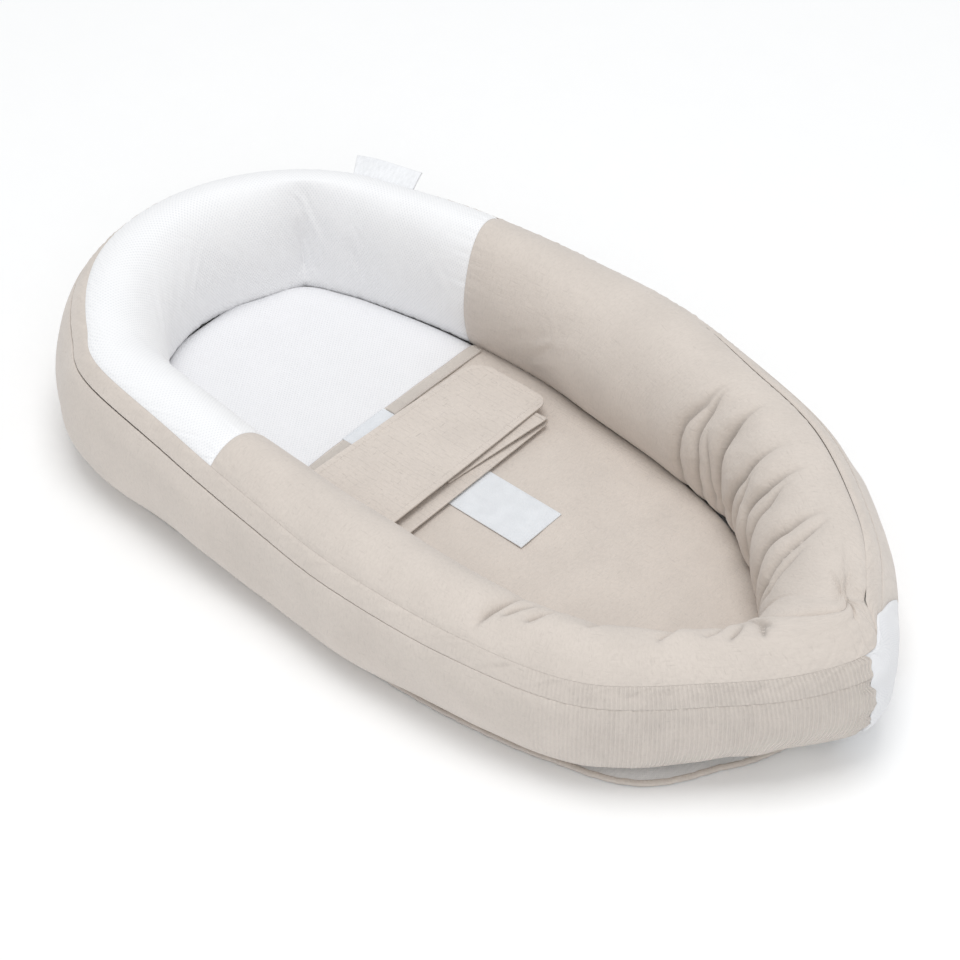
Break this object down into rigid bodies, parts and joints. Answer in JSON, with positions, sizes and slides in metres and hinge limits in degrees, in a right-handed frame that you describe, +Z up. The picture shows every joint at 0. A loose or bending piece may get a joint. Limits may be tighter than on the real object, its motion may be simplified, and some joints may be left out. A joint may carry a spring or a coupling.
{
  "type": "infant lounger",
  "caption": "Padded baby nest: a soft ring, round at the head and pointed at the foot, on a flat base round a thin mattress, with a folding fabric belt.",
  "frame": {"origin": "middle of the footprint, on the floor", "axes": "+X towards the foot tip, -X towards the round head, -Y towards the near side of the picture, +Z up"},
  "size_m": [0.7908, 0.4334, 0.1344],
  "materials": {
    "spacer_mesh": "white waffle spacer mesh",
    "crinkled_cotton": "matt beige crinkled cotton",
    "base_fabric": "matt white woven",
    "fibre_filling": "matt polyester fibre",
    "foam": "matt open-cell foam",
    "loop_tape": "white hook-and-loop pile",
    "zip_tape": "matt woven tape",
    "zip_coil": "satin nylon coil",
    "zinc": "satin lacquered zinc",
    "label_tape": "white woven ribbon"
  },
  "bodies": {
    "root": {"bolster_head_cover": "spacer_mesh", "bolster_near_cover": "crinkled_cotton", "bolster_far_cover": "crinkled_cotton", "bolster_filling": "fibre_filling", "side_strip_near": "crinkled_cotton", "side_strip_far": "crinkled_cotton", "side_wall_near": "crinkled_cotton", "side_wall_far": "crinkled_cotton", "foot_gusset": "spacer_mesh", "zip_tape_upper": "zip_tape", "zip_tape_lower": "zip_tape", "zip_teeth_upper": "zip_coil", "zip_teeth_lower": "zip_coil", "zip_stop_far": "zip_coil", "zip_stop_near": "zip_coil", "base_panel": "base_fabric", "base_binding": "crinkled_cotton", "mattress_core": "foam", "mattress_mesh_top": "spacer_mesh", "mattress_cotton_top": "crinkled_cotton", "loop_strip": "loop_tape", "hem_near": "crinkled_cotton", "hem_far": "crinkled_cotton", "label_tab": "label_tape"},
    "belt": {"belt_panel": "crinkled_cotton", "belt_hook_patch": "loop_tape"},
    "near_wing": {"belt_near_wing": "crinkled_cotton", "belt_near_wing_hooks": "loop_tape"},
    "far_wing": {"belt_far_wing": "crinkled_cotton", "belt_far_wing_loops": "loop_tape"},
    "slider": {"zip_slider": "zinc"},
    "pull": {"zip_pull": "zinc"}
  },
  "joints": [
    {"name": "belt_place", "type": "slide", "parent": "root", "child": "belt", "axis": [1, 0, 0], "range_m": [0, 0.06]},
    {"name": "near_wing_fold", "type": "hinge", "parent": "belt", "child": "near_wing", "pos_m": [-0.0661, -0.10818, 0.0365], "axis": [1, 0, 0], "range_deg": [0, 100]},
    {"name": "far_wing_fold", "type": "hinge", "parent": "belt", "child": "far_wing", "pos_m": [-0.0561, 0.08382, 0.0343], "axis": [-1, 0, 0], "range_deg": [0, 100]},
    {"name": "slider_travel", "type": "hinge", "parent": "root", "child": "slider", "pos_m": [-0.19962, -0.01318, 0.0967], "axis": [0, 0, 1], "range_deg": [0, 42]},
    {"name": "pull_swing", "type": "hinge", "parent": "slider", "child": "pull", "pos_m": [-0.29693, 0.15532, 0.0981], "axis": [0.1695, -0.2949, 0.9404], "range_deg": [0, 170]}
  ],
  "couplings": [
    {"joint": "far_wing_fold", "follows": "near_wing_fold", "ratio": 1}
  ]
}
